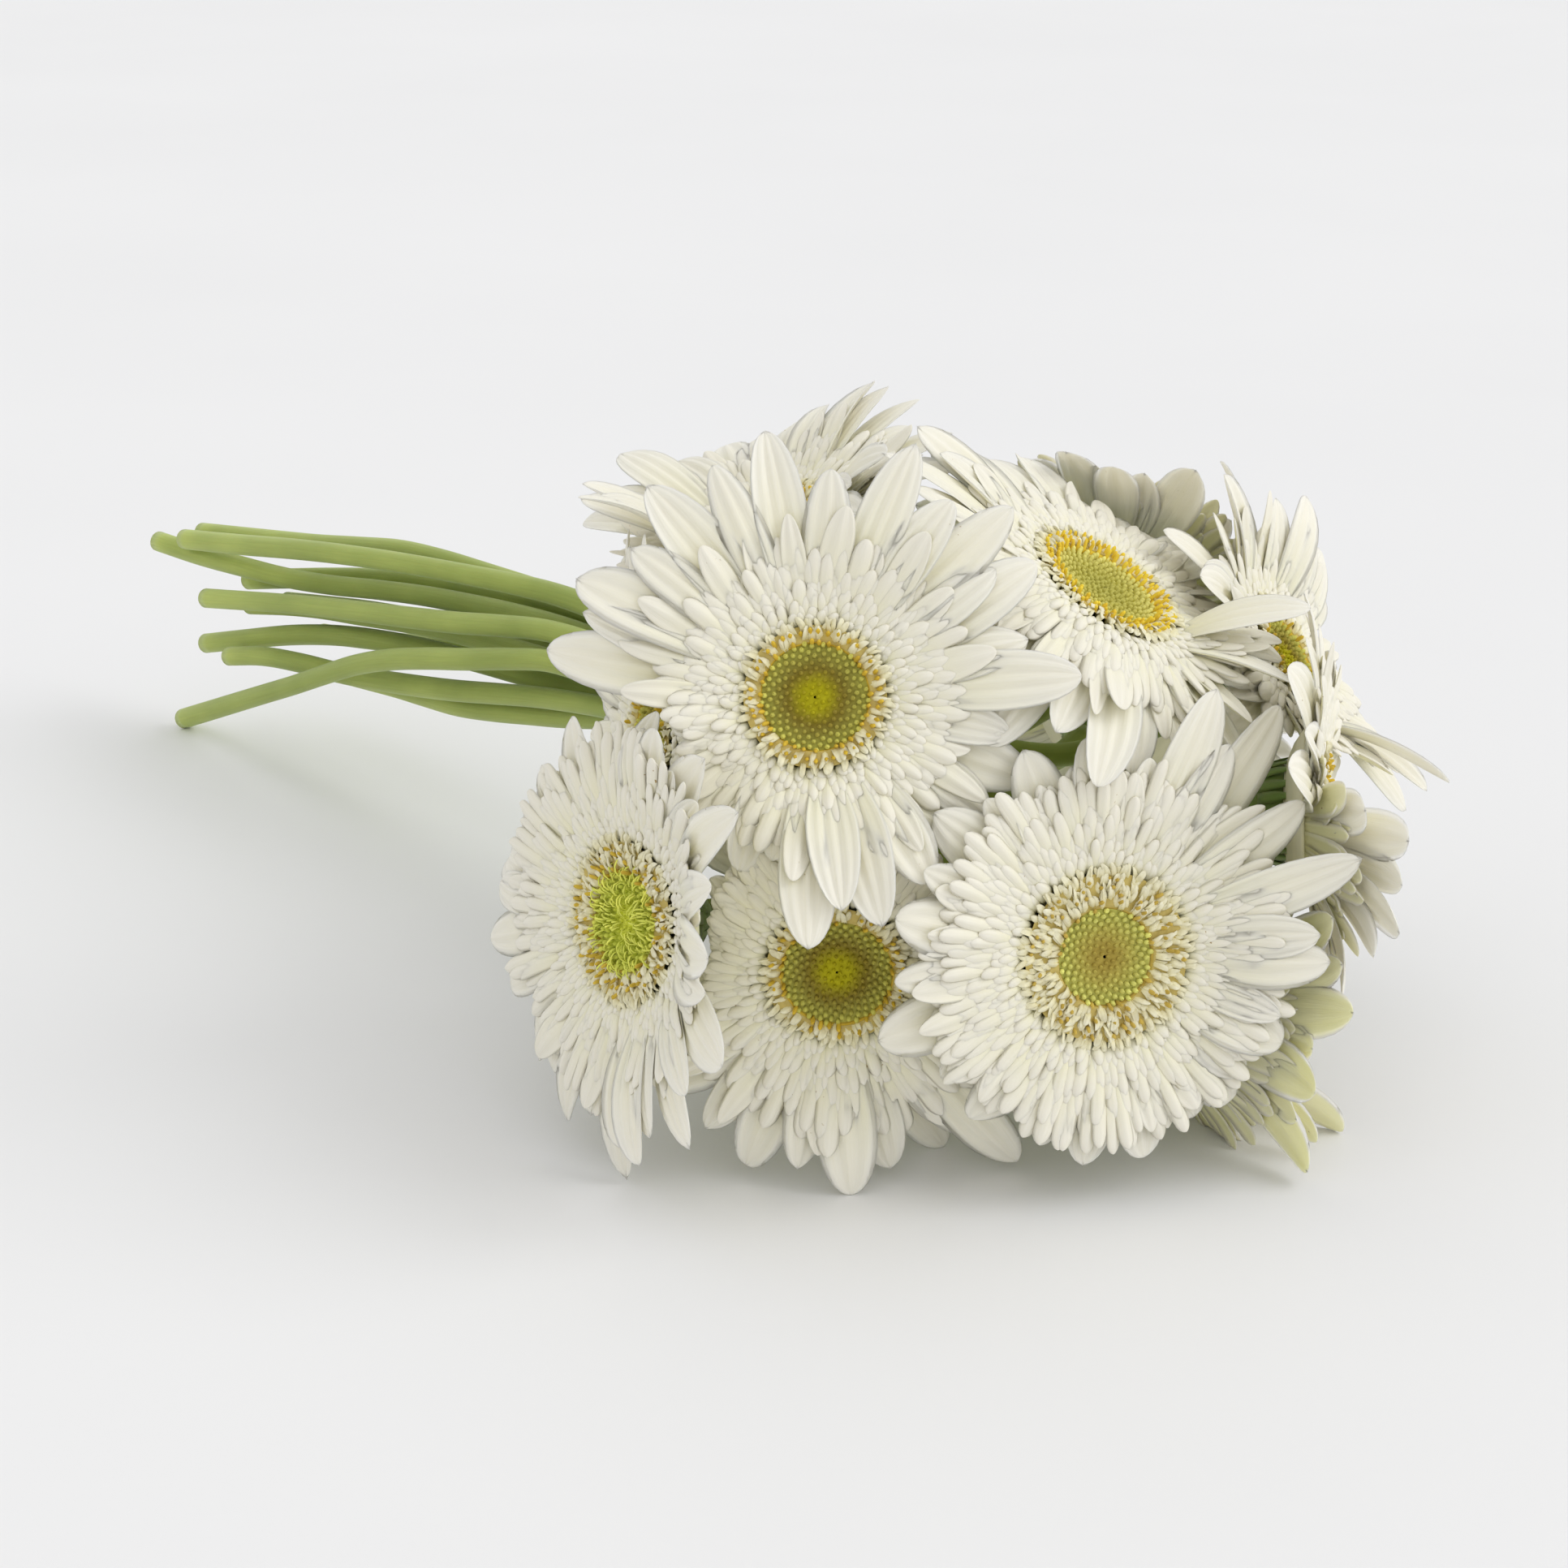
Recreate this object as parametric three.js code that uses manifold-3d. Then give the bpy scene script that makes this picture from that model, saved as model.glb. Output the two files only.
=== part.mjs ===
// A hand-tied bunch of twelve cut white gerberas, lying on its side.
// Frame: millimetres, +Z up, the surface it lies on at z = 0, the stems running along X with the flowers at +X.
// Each flower is four pieces: the stem, the green involucre behind the head, the white ray florets on their
// receptacle, and the button of disc florets. A rubber band holds the stems together behind the flowers.
import * as THREE from "three";
import { mergeVertices } from "three/addons/utils/BufferGeometryUtils.js";
import Module from "manifold-3d";

const wasm = await Module();
wasm.setup();

// ---- Driving dimensions ----
const STEM_RADIUS = 3.1;
const STEM_SIDES = 8;
const STEM_STEPS = 18;
const GAP = 0.35; // between pieces that touch
const NECK_GAP = 0.8; // between the bent end of a stem and the foot of its involucre
const HEAD_DEPTH = 21.5; // from the face of the disc to the foot of the involucre
const RAY_COUNT = 15;
const RAY_LENGTH = 37;
const RAY_WIDTH = 12.4;
const RAY_THICKNESS = 1.5;
const RAY_ROOT_INSET = 2; // from the edge of the disc out to the root of a ray
const RAY_ROOT_DEPTH = 3;
const RAY_RISE = 14; // degrees above the face of the head, where a ray leaves it
const RAY_DROOP = -18; // degrees, at the tip of a ray
const COLLAR_RADIUS = 25; // the packed short inner florets

const BAND = { x: -100, y: 0, z: 66, radius: 14.6, thickness: 1.5, width: 9 };
const OUTER_RING = 11; // where the nine outer stems pass through the band
const INNER_RING = 4.1; // and the three inner ones

// ---- The flowers ----
// face: centre of the disc. facing: azimuth from +X and elevation, in degrees. disc: its radius. reach: how
// long its rays are beside the usual. sectors: the parts of the head where rays differ, from one angle round it
// to another, with their reach, and their lift in degrees. The angles go from the right of the face by its top.
// ring, slot: which ring of the band the stem passes through, and at what angle from +Y towards +Z.
// tail: points of the free stem behind the band, out to its cut end.
// They are listed in the order in which they lie on each other, the lowest first.
const flowers = [
  {
    name: "04", face: [39, -72, 50.5], facing: [-44, -1], disc: 15.5, reach: 0.98, ring: OUTER_RING, slot: 260,
    sectors: [[335, 560, 0.5, -14], [285, 335, 1.18, 0]],
    tail: [[-148, 0.5, 45.3], [-192, 2, 37], [-225, 6, 33], [-262, 8, 29]],
  },
  {
    name: "12", face: [70, 12, 28], facing: [62, -8], disc: 15, reach: 1.0, ring: OUTER_RING, slot: 300,
    sectors: [[0, 360, 0.95, 30]],
    tail: [[-150, 5, 52.5], [-220, 5, 47.7], [-267, 5, 40], [-323, 3, 24.7]],
  },
  {
    name: "11", face: [-24, 86, 60], facing: [112, 5], disc: 15, reach: 0.96, ring: OUTER_RING, slot: 340,
    tail: [[-150, 15, 58], [-200, 19, 48], [-258, 22, 36.5], [-290, 24, 31]],
  },
  {
    name: "10", face: [-37, -59, 81], facing: [-114, 8], disc: 15, reach: 0.96, ring: OUTER_RING, slot: 180,
    tail: [[-128, -13, 68], [-163, -14, 61], [-210, -14, 49.3], [-255, -12, 30.7], [-321, -8, 3.2]],
  },
  {
    name: "03", face: [0.5, -99, 58.5], facing: [-95, 10], disc: 17.5, reach: 1.0, ring: OUTER_RING, slot: 220,
    sectors: [[300, 420, 1.1, 26], [60, 170, 0.78, -4]],
    tail: [[-140, -5, 53.3], [-194, -3, 42.6], [-240, -2, 35.5], [-277, -3, 32.3], [-301, -3, 27]],
  },
  {
    name: "09", face: [1, 58, 104], facing: [108, 32], disc: 15, reach: 0.92, ring: OUTER_RING, slot: 60,
    tail: [[-140, 9, 75.5], [-176, 12, 74], [-228, 12, 72.3], [-269, 12, 65.6], [-334, 11, 56.5]],
  },
  {
    name: "06", face: [-36, -25, 127], facing: [-118, 62], disc: 15, reach: 0.96, ring: OUTER_RING, slot: 100,
    sectors: [[180, 400, 1.0, 28], [40, 180, 0.9, 12]],
    tail: [[-139, 2, 79.3], [-197, 0, 76], [-249, -2, 70.4], [-323, -2, 58.5]],
  },
  {
    name: "07", face: [48, 66, 94], facing: [30, 34], disc: 15, reach: 0.92, ring: OUTER_RING, slot: 20,
    tail: [[-150, 14, 69], [-230, 16, 62], [-270, 14, 55], [-308, 10, 47]],
  },
  {
    name: "02", face: [77.5, -29, 54], facing: [-27, 13], disc: 18.5, reach: 0.85, ring: INNER_RING, slot: 210,
    sectors: [[0, 75, 1.2, 4], [75, 125, 0.72, 4], [210, 345, 0.66, 0]],
    tail: [[-150, -2, 62], [-200, 1, 58], [-235, 3, 53], [-270, 4.5, 48], [-300, 5, 42]],
  },
  {
    name: "08", face: [83, 36, 72], facing: [36, 4], disc: 15, reach: 0.86, ring: INNER_RING, slot: 330,
    sectors: [[225, 330, 0.55, 4]],
    tail: [[-150, 7, 60.5], [-200, 10, 56], [-246, 12, 50.5], [-292, 13, 43]],
  },
  {
    name: "05", face: [42, 7, 122], facing: [25, 58], disc: 17.5, reach: 1.04, ring: INNER_RING, slot: 90,
    sectors: [[0, 40, 0.66, 0], [150, 245, 1.1, -32], [245, 330, 0.95, -8]],
    tail: [[-150, 4, 69.5], [-213, 6, 63.7], [-274, 3, 56], [-342, 0, 54]],
  },
  {
    name: "01", face: [26.5, -67, 109], facing: [-43, 24], disc: 15.3, reach: 1.06, ring: OUTER_RING, slot: 140,
    sectors: [[185, 216, 0.42, 10], [216, 245, 0.68, 6], [245, 300, 1.06, -4], [300, 340, 0.9, -8]],
    tail: [[-132, -8, 73.9], [-186, -8, 65.2], [-253, -7, 54.6], [-307, -6, 44.6]],
  },
];

// ---- Small helpers ----
const radians = THREE.MathUtils.degToRad;
const vector = (list) => new THREE.Vector3(...list);

// A fixed number from 0 to 1 for each pair of counters, so that no two rays are alike.
function vary(i, j) {
  const wave = Math.sin(i * 12.9898 + j * 78.233) * 43758.5453;
  return wave - Math.floor(wave);
}

function bareGeometry(geometry) {
  const bare = new THREE.BufferGeometry().setAttribute("position", geometry.getAttribute("position"));
  if (geometry.index) bare.setIndex(geometry.index);
  return mergeVertices(bare, 1e-4);
}

function toSolid(geometry) {
  const bare = bareGeometry(geometry);
  return new wasm.Manifold(
    new wasm.Mesh({
      numProp: 3,
      vertProperties: bare.attributes.position.array,
      triVerts: new Uint32Array(bare.index.array),
    }),
  );
}

function toGeometry(solid) {
  const mesh = solid.getMesh();
  return new THREE.BufferGeometry()
    .setAttribute("position", new THREE.BufferAttribute(Float32Array.from(mesh.vertProperties), 3))
    .setIndex(new THREE.BufferAttribute(Uint32Array.from(mesh.triVerts), 1));
}

// A solid of revolution about +Z from [radius, height] pairs, given upwards along its outside.
function turned(profile, segments) {
  const points = profile.map(([r, z]) => new THREE.Vector2(r, z));
  const lathe = new THREE.LatheGeometry(points, segments);
  return lathe.rotateX(Math.PI / 2);
}

// ---- Where each head is, and which way it faces ----
for (const flower of flowers) {
  const [azimuth, elevation] = flower.facing.map(radians);
  flower.centre = vector(flower.face);
  flower.normal = new THREE.Vector3(
    Math.cos(azimuth) * Math.cos(elevation),
    Math.sin(azimuth) * Math.cos(elevation),
    Math.sin(elevation),
  );
  flower.side = new THREE.Vector3(0, 0, 1).cross(flower.normal).normalize();
  flower.up = flower.normal.clone().cross(flower.side);
}

// A point given as radius, angle round the head's axis and height above its face.
function onHead(flower, radius, angle, height) {
  return flower.centre
    .clone()
    .addScaledVector(flower.side, radius * Math.cos(angle))
    .addScaledVector(flower.up, radius * Math.sin(angle))
    .addScaledVector(flower.normal, height);
}

// ---- Stems ----
// From the foot of the involucre the stem bends into the band, and from there runs out to its cut end.
function stemRoute(flower) {
  const angle = radians(flower.slot);
  const hold = new THREE.Vector3(
    BAND.x,
    BAND.y + flower.ring * Math.cos(angle),
    BAND.z + flower.ring * Math.sin(angle),
  );
  const neck = onHead(flower, 0, 0, -HEAD_DEPTH - NECK_GAP);
  const start = onHead(flower, 0, 0, -HEAD_DEPTH - 8);
  const reach = start.distanceTo(hold);
  const bend = new THREE.CubicBezierCurve3(
    start,
    start.clone().addScaledVector(flower.normal, -0.42 * reach),
    hold.clone().add(new THREE.Vector3(0.42 * reach, 0, 0)),
    hold,
  );
  const points = [neck, ...bend.getPoints(5), ...flower.tail.map(vector)];
  return new THREE.CatmullRomCurve3(points, false, "centripetal").getSpacedPoints(STEM_STEPS);
}

// Places along a route, each between two of its points: what touches there moves them both.
function beadsOf(route) {
  const beads = [];
  for (let i = 0; i < STEM_STEPS; i++)
    for (const share of [0, 0.2, 0.4, 0.6, 0.8]) {
      beads.push({ route, i, share, point: route[i].clone().lerp(route[i + 1], share) });
    }
  return beads;
}

function pushBead({ route, i, share }, push) {
  if (i > 1) route[i].addScaledVector(push, 1 - share);
  if (i > 0) route[i + 1].addScaledVector(push, share);
}

// Stems that would run through each other are pushed apart until they lie side by side.
const STEM_SPACING = 2 * STEM_RADIUS + 2 * GAP;
const SETTLING_ROUNDS = 60;

function keepInBand(point) {
  const room = BAND.radius - STEM_RADIUS - GAP;
  const out = Math.hypot(point.y - BAND.y, point.z - BAND.z);
  if (out <= room) return;
  point.y = BAND.y + ((point.y - BAND.y) * room) / out;
  point.z = BAND.z + ((point.z - BAND.z) * room) / out;
}

function settle(routes) {
  for (let round = 0; round < SETTLING_ROUNDS; round++) {
    const stems = routes.map(beadsOf);
    for (let a = 0; a < stems.length; a++)
      for (let b = a + 1; b < stems.length; b++)
        for (const one of stems[a])
          for (const other of stems[b]) {
            const apart = one.point.distanceTo(other.point);
            if (apart >= STEM_SPACING) continue;
            const push = other.point.clone().sub(one.point).setLength(0.25 * (STEM_SPACING - apart));
            pushBead(other, push);
            pushBead(one, push.negate());
          }
    for (const point of routes.flat()) {
      point.z = Math.max(point.z, STEM_RADIUS);
      if (Math.abs(point.x - BAND.x) < BAND.width + 14) keepInBand(point);
    }
  }
}

function stemGeometry(curve) {
  const corners = [];
  for (let i = 0; i < STEM_SIDES; i++) {
    const angle = (2 * Math.PI * i) / STEM_SIDES;
    corners.push(new THREE.Vector2(STEM_RADIUS * Math.cos(angle), STEM_RADIUS * Math.sin(angle)));
  }
  return new THREE.ExtrudeGeometry(new THREE.Shape(corners), {
    steps: STEM_STEPS,
    extrudePath: curve,
    curveSegments: 1,
  });
}

// ---- Heads ----
function involucreProfile() {
  const top = -8;
  return [
    [0, -HEAD_DEPTH],
    [3.6, -HEAD_DEPTH],
    [8.5, -17],
    [12, -12],
    [12.6, top],
    [0, top],
  ];
}

// The receptacle, and round the disc the packed short florets as one collar.
function collarProfile(disc) {
  return [
    [0, -8 + GAP],
    [13, -8 + GAP],
    [21, -5.5],
    [COLLAR_RADIUS, -1.5],
    [disc + 3, 1.2],
    [disc + GAP, -1],
    [disc + GAP, -4],
    [0, -4],
  ];
}

function discProfile(disc) {
  return [
    [0, -4 + GAP],
    [disc - 0.4, -4 + GAP],
    [disc, 0.4],
    [disc - 3, 1],
    [disc - 7, -0.2],
    [0, 0],
  ];
}

// ---- Ray florets ----
// The middle line of a ray: it leaves the receptacle rising, and droops towards its tip.
function raySpine(flower, ray) {
  const steps = 22;
  const points = [];
  let radius = flower.disc + RAY_ROOT_INSET;
  let height = -RAY_ROOT_DEPTH;
  for (let i = 0; i <= steps; i++) {
    const along = i / steps;
    const slope = radians(RAY_RISE + ray.lift + (RAY_DROOP - RAY_RISE) * along);
    const middle = onHead(flower, radius, ray.angle, height);
    const across = new THREE.Vector3()
      .addScaledVector(flower.side, -Math.sin(ray.angle))
      .addScaledVector(flower.up, Math.cos(ray.angle));
    const outward = across.clone().cross(flower.normal);
    const normal = flower.normal.clone().multiplyScalar(Math.cos(slope));
    normal.addScaledVector(outward, -Math.sin(slope));
    points.push({ along, middle, across, normal });
    radius += (Math.cos(slope) * ray.length) / steps;
    height += (Math.sin(slope) * ray.length) / steps;
  }
  return points;
}

// Half the width of a ray at a share of its length: narrow at its root, full past the middle, blunt at its tip.
function halfWidth(along) {
  const swell = Math.sin(Math.PI * Math.min(1, 0.12 + 0.62 * along) ** 1.1);
  const tip = Math.sqrt(Math.max(0, 1 - Math.max(0, (along - 0.6) / 0.42) ** 2.4));
  return 0.5 * RAY_WIDTH * swell * tip;
}

// Points that a solid takes up, by cell, so that rays can be laid clear of them.
const CELL = 3;
const CLEARANCE = 3;
const taken = new Map();
const cellKey = (i, j, k) => (i + 300) * 1e6 + (j + 300) * 1e3 + (k + 300);

function take(point, owner) {
  const key = cellKey(...point.toArray().map((x) => Math.floor(x / CELL)));
  if (!taken.has(key)) taken.set(key, []);
  taken.get(key).push({ point, owner });
}

function isFree(point, owner) {
  const [ci, cj, ck] = point.toArray().map((x) => Math.floor(x / CELL));
  for (let i = ci - 1; i <= ci + 1; i++)
    for (let j = cj - 1; j <= cj + 1; j++)
      for (let k = ck - 1; k <= ck + 1; k++)
        for (const other of taken.get(cellKey(i, j, k)) ?? [])
          if (other.owner !== owner && other.point.distanceTo(point) < CLEARANCE) return false;
  return true;
}

function takeRing(flower, radius, height, spacing = 2.2) {
  const count = Math.max(1, Math.ceil((2 * Math.PI * radius) / spacing));
  for (let i = 0; i < count; i++) {
    take(onHead(flower, radius, (2 * Math.PI * i) / count, height), flower.name);
  }
}

function takeHead(flower) {
  for (let radius = 0; radius <= COLLAR_RADIUS; radius += 2.2) {
    takeRing(flower, radius, 1.2 - Math.max(0, radius - 18) * 0.4);
    takeRing(flower, radius, -2 - Math.max(0, COLLAR_RADIUS - radius) * 0.45);
  }
  for (let radius = COLLAR_RADIUS - 3; radius <= COLLAR_RADIUS + 6; radius += 2.2) {
    takeRing(flower, radius, 0.3 + 0.35 * (radius - COLLAR_RADIUS));
  }
  for (let height = -HEAD_DEPTH; height < -8; height += 2.2) {
    takeRing(flower, 3.6 + (9 * (height + HEAD_DEPTH)) / (HEAD_DEPTH - 8), height);
  }
}

function takeStem(flower) {
  const spots = Math.round(flower.stem.getLength() / 2.2);
  const frames = flower.stem.computeFrenetFrames(spots);
  for (let i = 0; i <= spots; i++) {
    const middle = flower.stem.getPointAt(i / spots);
    for (let side = 0; side < STEM_SIDES; side++) {
      const angle = (2 * Math.PI * side) / STEM_SIDES;
      const rim = middle
        .clone()
        .addScaledVector(frames.normals[i], STEM_RADIUS * Math.cos(angle))
        .addScaledVector(frames.binormals[i], STEM_RADIUS * Math.sin(angle));
      take(rim, flower.name);
    }
  }
}

// The spots of a ray that have to be clear of everything else: all but its root.
function raySpots(flower, ray) {
  const spots = [];
  for (const { along, middle, across } of raySpine(flower, ray)) {
    if (along < 0.3) continue;
    const half = Math.max(0.5, halfWidth(along));
    for (let i = -3; i <= 3; i++) spots.push(middle.clone().addScaledVector(across, (half * i) / 3));
  }
  return spots;
}

const FLOOR_CLEARANCE = 0.35 * RAY_THICKNESS;
const LIFT_SPREAD = 14; // degrees by which free rays differ
const LIFT_STEP = 7;
const MOST_LIFTS = 8;
const LENGTHS = [1, 0.86, 0.72, 0.58];

// A ray lies where it is clear of what is there already: it lifts or droops first, as little as it can, and is
// shorter if it must be. The lowest rays come to rest on the surface in this way.
function layRay(flower, angle, fullLength, freeLift) {
  const isClear = (ray) =>
    raySpots(flower, ray).every((p) => p.z > FLOOR_CLEARANCE && isFree(p, flower.name));
  for (const share of LENGTHS)
    for (let steps = 0; steps <= MOST_LIFTS; steps++)
      for (const direction of [1, -1]) {
        if (direction < 0 && steps > 3) continue;
        const lift = freeLift + direction * steps * LIFT_STEP;
        const ray = { angle, lift, length: fullLength * share };
        if (!isClear(ray)) continue;
        let spare = steps > 0 ? LIFT_STEP : 0;
        for (; spare > 0.3; spare /= 2) {
          const lower = { ...ray, lift: ray.lift - direction * 0.5 * spare };
          if (isClear(lower)) ray.lift = lower.lift;
        }
        raySpots(flower, ray).forEach((p) => take(p, flower.name));
        return ray;
      }
  return null;
}

// How far the rays of a flower reach at an angle round its head, and how they are lifted when they lie free.
function sectorAt(flower, angle) {
  const turn = (degrees) => ((degrees % 360) + 360) % 360;
  for (const [from, to, reach, lift] of flower.sectors ?? [])
    if (turn(THREE.MathUtils.radToDeg(angle) - from) < to - from) return { reach, lift };
  return { reach: flower.reach, lift: 0 };
}

// A ray as a closed blade: a thin diamond at each station, and a point at its tip.
const STATIONS = [0, 0.3, 0.62, 0.88];

function rayGeometry(flower, ray) {
  const spine = raySpine(flower, ray);
  const at = (along) => spine[Math.round(along * (spine.length - 1))];
  const corners = [];
  for (const along of STATIONS) {
    const { middle, across, normal } = at(along);
    const half = halfWidth(along);
    corners.push(
      middle.clone().addScaledVector(across, half),
      middle.clone().addScaledVector(normal, RAY_THICKNESS / 2),
      middle.clone().addScaledVector(across, -half),
      middle.clone().addScaledVector(normal, -RAY_THICKNESS / 2),
    );
  }
  const tip = corners.push(at(1).middle) - 1;
  const faces = [0, 2, 1, 0, 3, 2];
  const last = STATIONS.length - 1;
  for (let station = 0; station < last; station++)
    for (let side = 0; side < 4; side++) {
      const a = 4 * station + side;
      const b = 4 * station + ((side + 1) % 4);
      faces.push(a, b, a + 4, b, b + 4, a + 4);
    }
  for (let side = 0; side < 4; side++) faces.push(4 * last + side, 4 * last + ((side + 1) % 4), tip);
  return new THREE.BufferGeometry().setFromPoints(corners).setIndex(faces);
}

// ---- Lay out the bunch ----
const routes = flowers.map(stemRoute);
settle(routes);
flowers.forEach((flower, number) => {
  flower.stem = new THREE.CatmullRomCurve3(routes[number], false, "centripetal");
  takeHead(flower);
  takeStem(flower);
});

flowers.forEach((flower, number) => {
  flower.rays = [];
  for (let i = 0; i < RAY_COUNT; i++) {
    const angle = (2 * Math.PI * (i + 0.5 * vary(i, number) + vary(number, 99))) / RAY_COUNT;
    const { reach, lift } = sectorAt(flower, angle);
    const length = RAY_LENGTH * reach * (0.9 + 0.16 * vary(i + 40, number));
    const ray = layRay(flower, angle, length, lift + LIFT_SPREAD * (vary(i + 80, number) - 0.5));
    if (ray) flower.rays.push(ray);
  }
});

// ---- Materials ----
const material = (color, roughness) => new THREE.MeshStandardMaterial({ color, roughness, metalness: 0 });
const petalWhite = material(0xf4f1e4, 0.55);
const discGreen = material(0x9aa43c, 0.8);
const involucreGreen = material(0x6f8a3c, 0.7);
const stemGreen = material(0x7d9b45, 0.6);
const bandRubber = material(0xb98d57, 0.7);

// ---- Meshes ----
const bunch = new THREE.Group();

function addPiece(name, geometry, look, parent = bunch) {
  const mesh = new THREE.Mesh(geometry, look);
  mesh.name = name;
  parent.add(mesh);
  return mesh;
}

for (const flower of flowers) {
  addPiece(`stem_${flower.name}`, stemGeometry(flower.stem), stemGreen);

  const head = new THREE.Group();
  const turn = new THREE.Matrix4().makeBasis(flower.side, flower.up, flower.normal);
  head.applyMatrix4(turn.setPosition(flower.centre));
  bunch.add(head);
  addPiece(`involucre_${flower.name}`, turned(involucreProfile(), 10), involucreGreen, head);
  addPiece(`disc_florets_${flower.name}`, turned(discProfile(flower.disc), 13), discGreen, head);

  const collar = turned(collarProfile(flower.disc), 13).applyMatrix4(head.matrix);
  let florets = toSolid(collar);
  for (const ray of flower.rays) florets = florets.add(toSolid(rayGeometry(flower, ray)));
  addPiece(`ray_florets_${flower.name}`, toGeometry(florets), petalWhite);
}

const bandInside = BAND.radius;
const bandOutside = BAND.radius + BAND.thickness;
const band = turned(
  [
    [bandInside, BAND.width / 2],
    [bandInside, -BAND.width / 2],
    [bandOutside, -BAND.width / 2],
    [bandOutside, BAND.width / 2],
    [bandInside, BAND.width / 2],
  ],
  28,
);
const bandMesh = addPiece("rubber_band", band.rotateY(Math.PI / 2), bandRubber);
bandMesh.position.set(BAND.x, BAND.y, BAND.z);

// The layout above is centred on the flowers; the frame's origin is under the middle of the whole bunch.
const extent = new THREE.Box3().setFromObject(bunch, true);
const middle = extent.getCenter(new THREE.Vector3());
bunch.position.set(-middle.x, -middle.y, -extent.min.z);

export default bunch;
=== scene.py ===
"""The looks of a hand-tied bunch of cut white gerberas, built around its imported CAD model."""

import math

import bpy
import numpy as np
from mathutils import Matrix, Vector


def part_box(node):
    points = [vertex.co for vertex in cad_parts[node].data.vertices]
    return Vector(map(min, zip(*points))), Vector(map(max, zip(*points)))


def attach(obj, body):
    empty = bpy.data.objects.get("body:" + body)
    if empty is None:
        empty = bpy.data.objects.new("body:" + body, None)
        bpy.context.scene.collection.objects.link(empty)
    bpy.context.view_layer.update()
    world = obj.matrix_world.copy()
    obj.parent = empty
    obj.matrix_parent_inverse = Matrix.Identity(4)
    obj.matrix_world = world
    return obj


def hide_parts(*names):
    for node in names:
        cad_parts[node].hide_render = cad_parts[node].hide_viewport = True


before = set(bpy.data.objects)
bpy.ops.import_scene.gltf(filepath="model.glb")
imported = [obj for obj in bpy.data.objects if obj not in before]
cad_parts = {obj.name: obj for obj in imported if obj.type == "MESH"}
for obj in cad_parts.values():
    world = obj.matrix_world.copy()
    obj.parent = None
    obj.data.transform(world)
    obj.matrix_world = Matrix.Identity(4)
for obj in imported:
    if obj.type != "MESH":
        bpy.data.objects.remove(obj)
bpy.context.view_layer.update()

MM = 0.001
NUMBERS = [f"{i:02d}" for i in range(1, 13)]
rng = np.random.default_rng(12)

# ---- What differs from one flower to the next ----
# open_share: how much of the disc is still closed buds.
# rows, first, last: the rows of inner florets, and the length of the shortest and longest in mm.
# widths: of the narrowest and widest inner florets, in mm.
# half_rays: how many florets are between these and the rays in size.
# back: how green the backs of the rays are.
# palette: the colours of the buds.
# anthers: how many of the open florets show one.
DEFAULT = {"open_share": 0.72, "rows": 7, "first": 4.0, "last": 19.0, "widths": (2.8, 4.4), "half_rays": 18,
           "palette": "olive", "anthers": 0.6, "back": 0.0}
FLOWERS = {
    "01": {"open_share": 0.74, "rows": 8, "first": 3.6, "last": 18.0, "widths": (2.7, 4.4), "half_rays": 22,
           "palette": "olive", "anthers": 0.8, "back": 0.15},
    "02": {"open_share": 0.56, "rows": 9, "first": 5.5, "last": 23.0, "widths": (2.9, 3.9), "half_rays": 24,
           "palette": "tan", "anthers": 0.35, "back": 0.15},
    "03": {"open_share": 0.62, "rows": 9, "first": 4.5, "last": 24.0, "widths": (2.4, 3.8), "half_rays": 16,
           "palette": "lime", "anthers": 0.4, "back": 0.15},
    "04": {"open_share": 0.76, "rows": 8, "first": 4.5, "last": 23.0, "widths": (2.8, 4.8), "half_rays": 18,
           "palette": "olive", "anthers": 0.6, "back": 0.15},
    "05": {"open_share": 0.74, "rows": 8, "first": 4.0, "last": 19.0, "widths": (2.7, 4.4), "half_rays": 22,
           "palette": "gold", "anthers": 1.0, "back": 0.2},
    "12": {**DEFAULT, "back": 0.8},
}

CURLY = {"03": 170}  # flowers with curled styles over the disc, and how many

RAY_RISE = 14  # degrees above the face of the head, where a ray floret leaves it
RAY_DROOP = -18  # and at its tip
RAY_WIDTH = 12.6 * MM
RAY_LENGTH = 37 * MM
COLLAR_RADIUS = 26 * MM  # farther out than this, the rays of the frame's heads stand apart
CLAW_RADIUS = 10.5 * MM  # where a ray leaves the receptacle, and how far behind the face
CLAW_DEPTH = 7 * MM
STEM_RADIUS = 3.1 * MM


# ---- Reading the frame ----
def unit(v):
    return v / np.linalg.norm(v)


def weld(name):
    """The distinct corners of a CAD node, and its edges between them."""
    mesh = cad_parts[name].data
    found = np.array([v.co for v in mesh.vertices])
    points, place = np.unique(found.round(5), axis=0, return_inverse=True)
    place = place.ravel()
    edges = {tuple(sorted((place[a], place[b]))) for a, b in (e.vertices for e in mesh.edges)}
    return points, [e for e in edges if e[0] != e[1]]


def groups(count, edges):
    """Sets of the numbers below count that the edges join."""
    parent = list(range(count))

    def top(i):
        while parent[i] != i:
            parent[i] = parent[parent[i]]
            i = parent[i]
        return i

    for a, b in edges:
        parent[top(a)] = top(b)
    found = {}
    for i in range(count):
        found.setdefault(top(i), []).append(i)
    return list(found.values())


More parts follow.
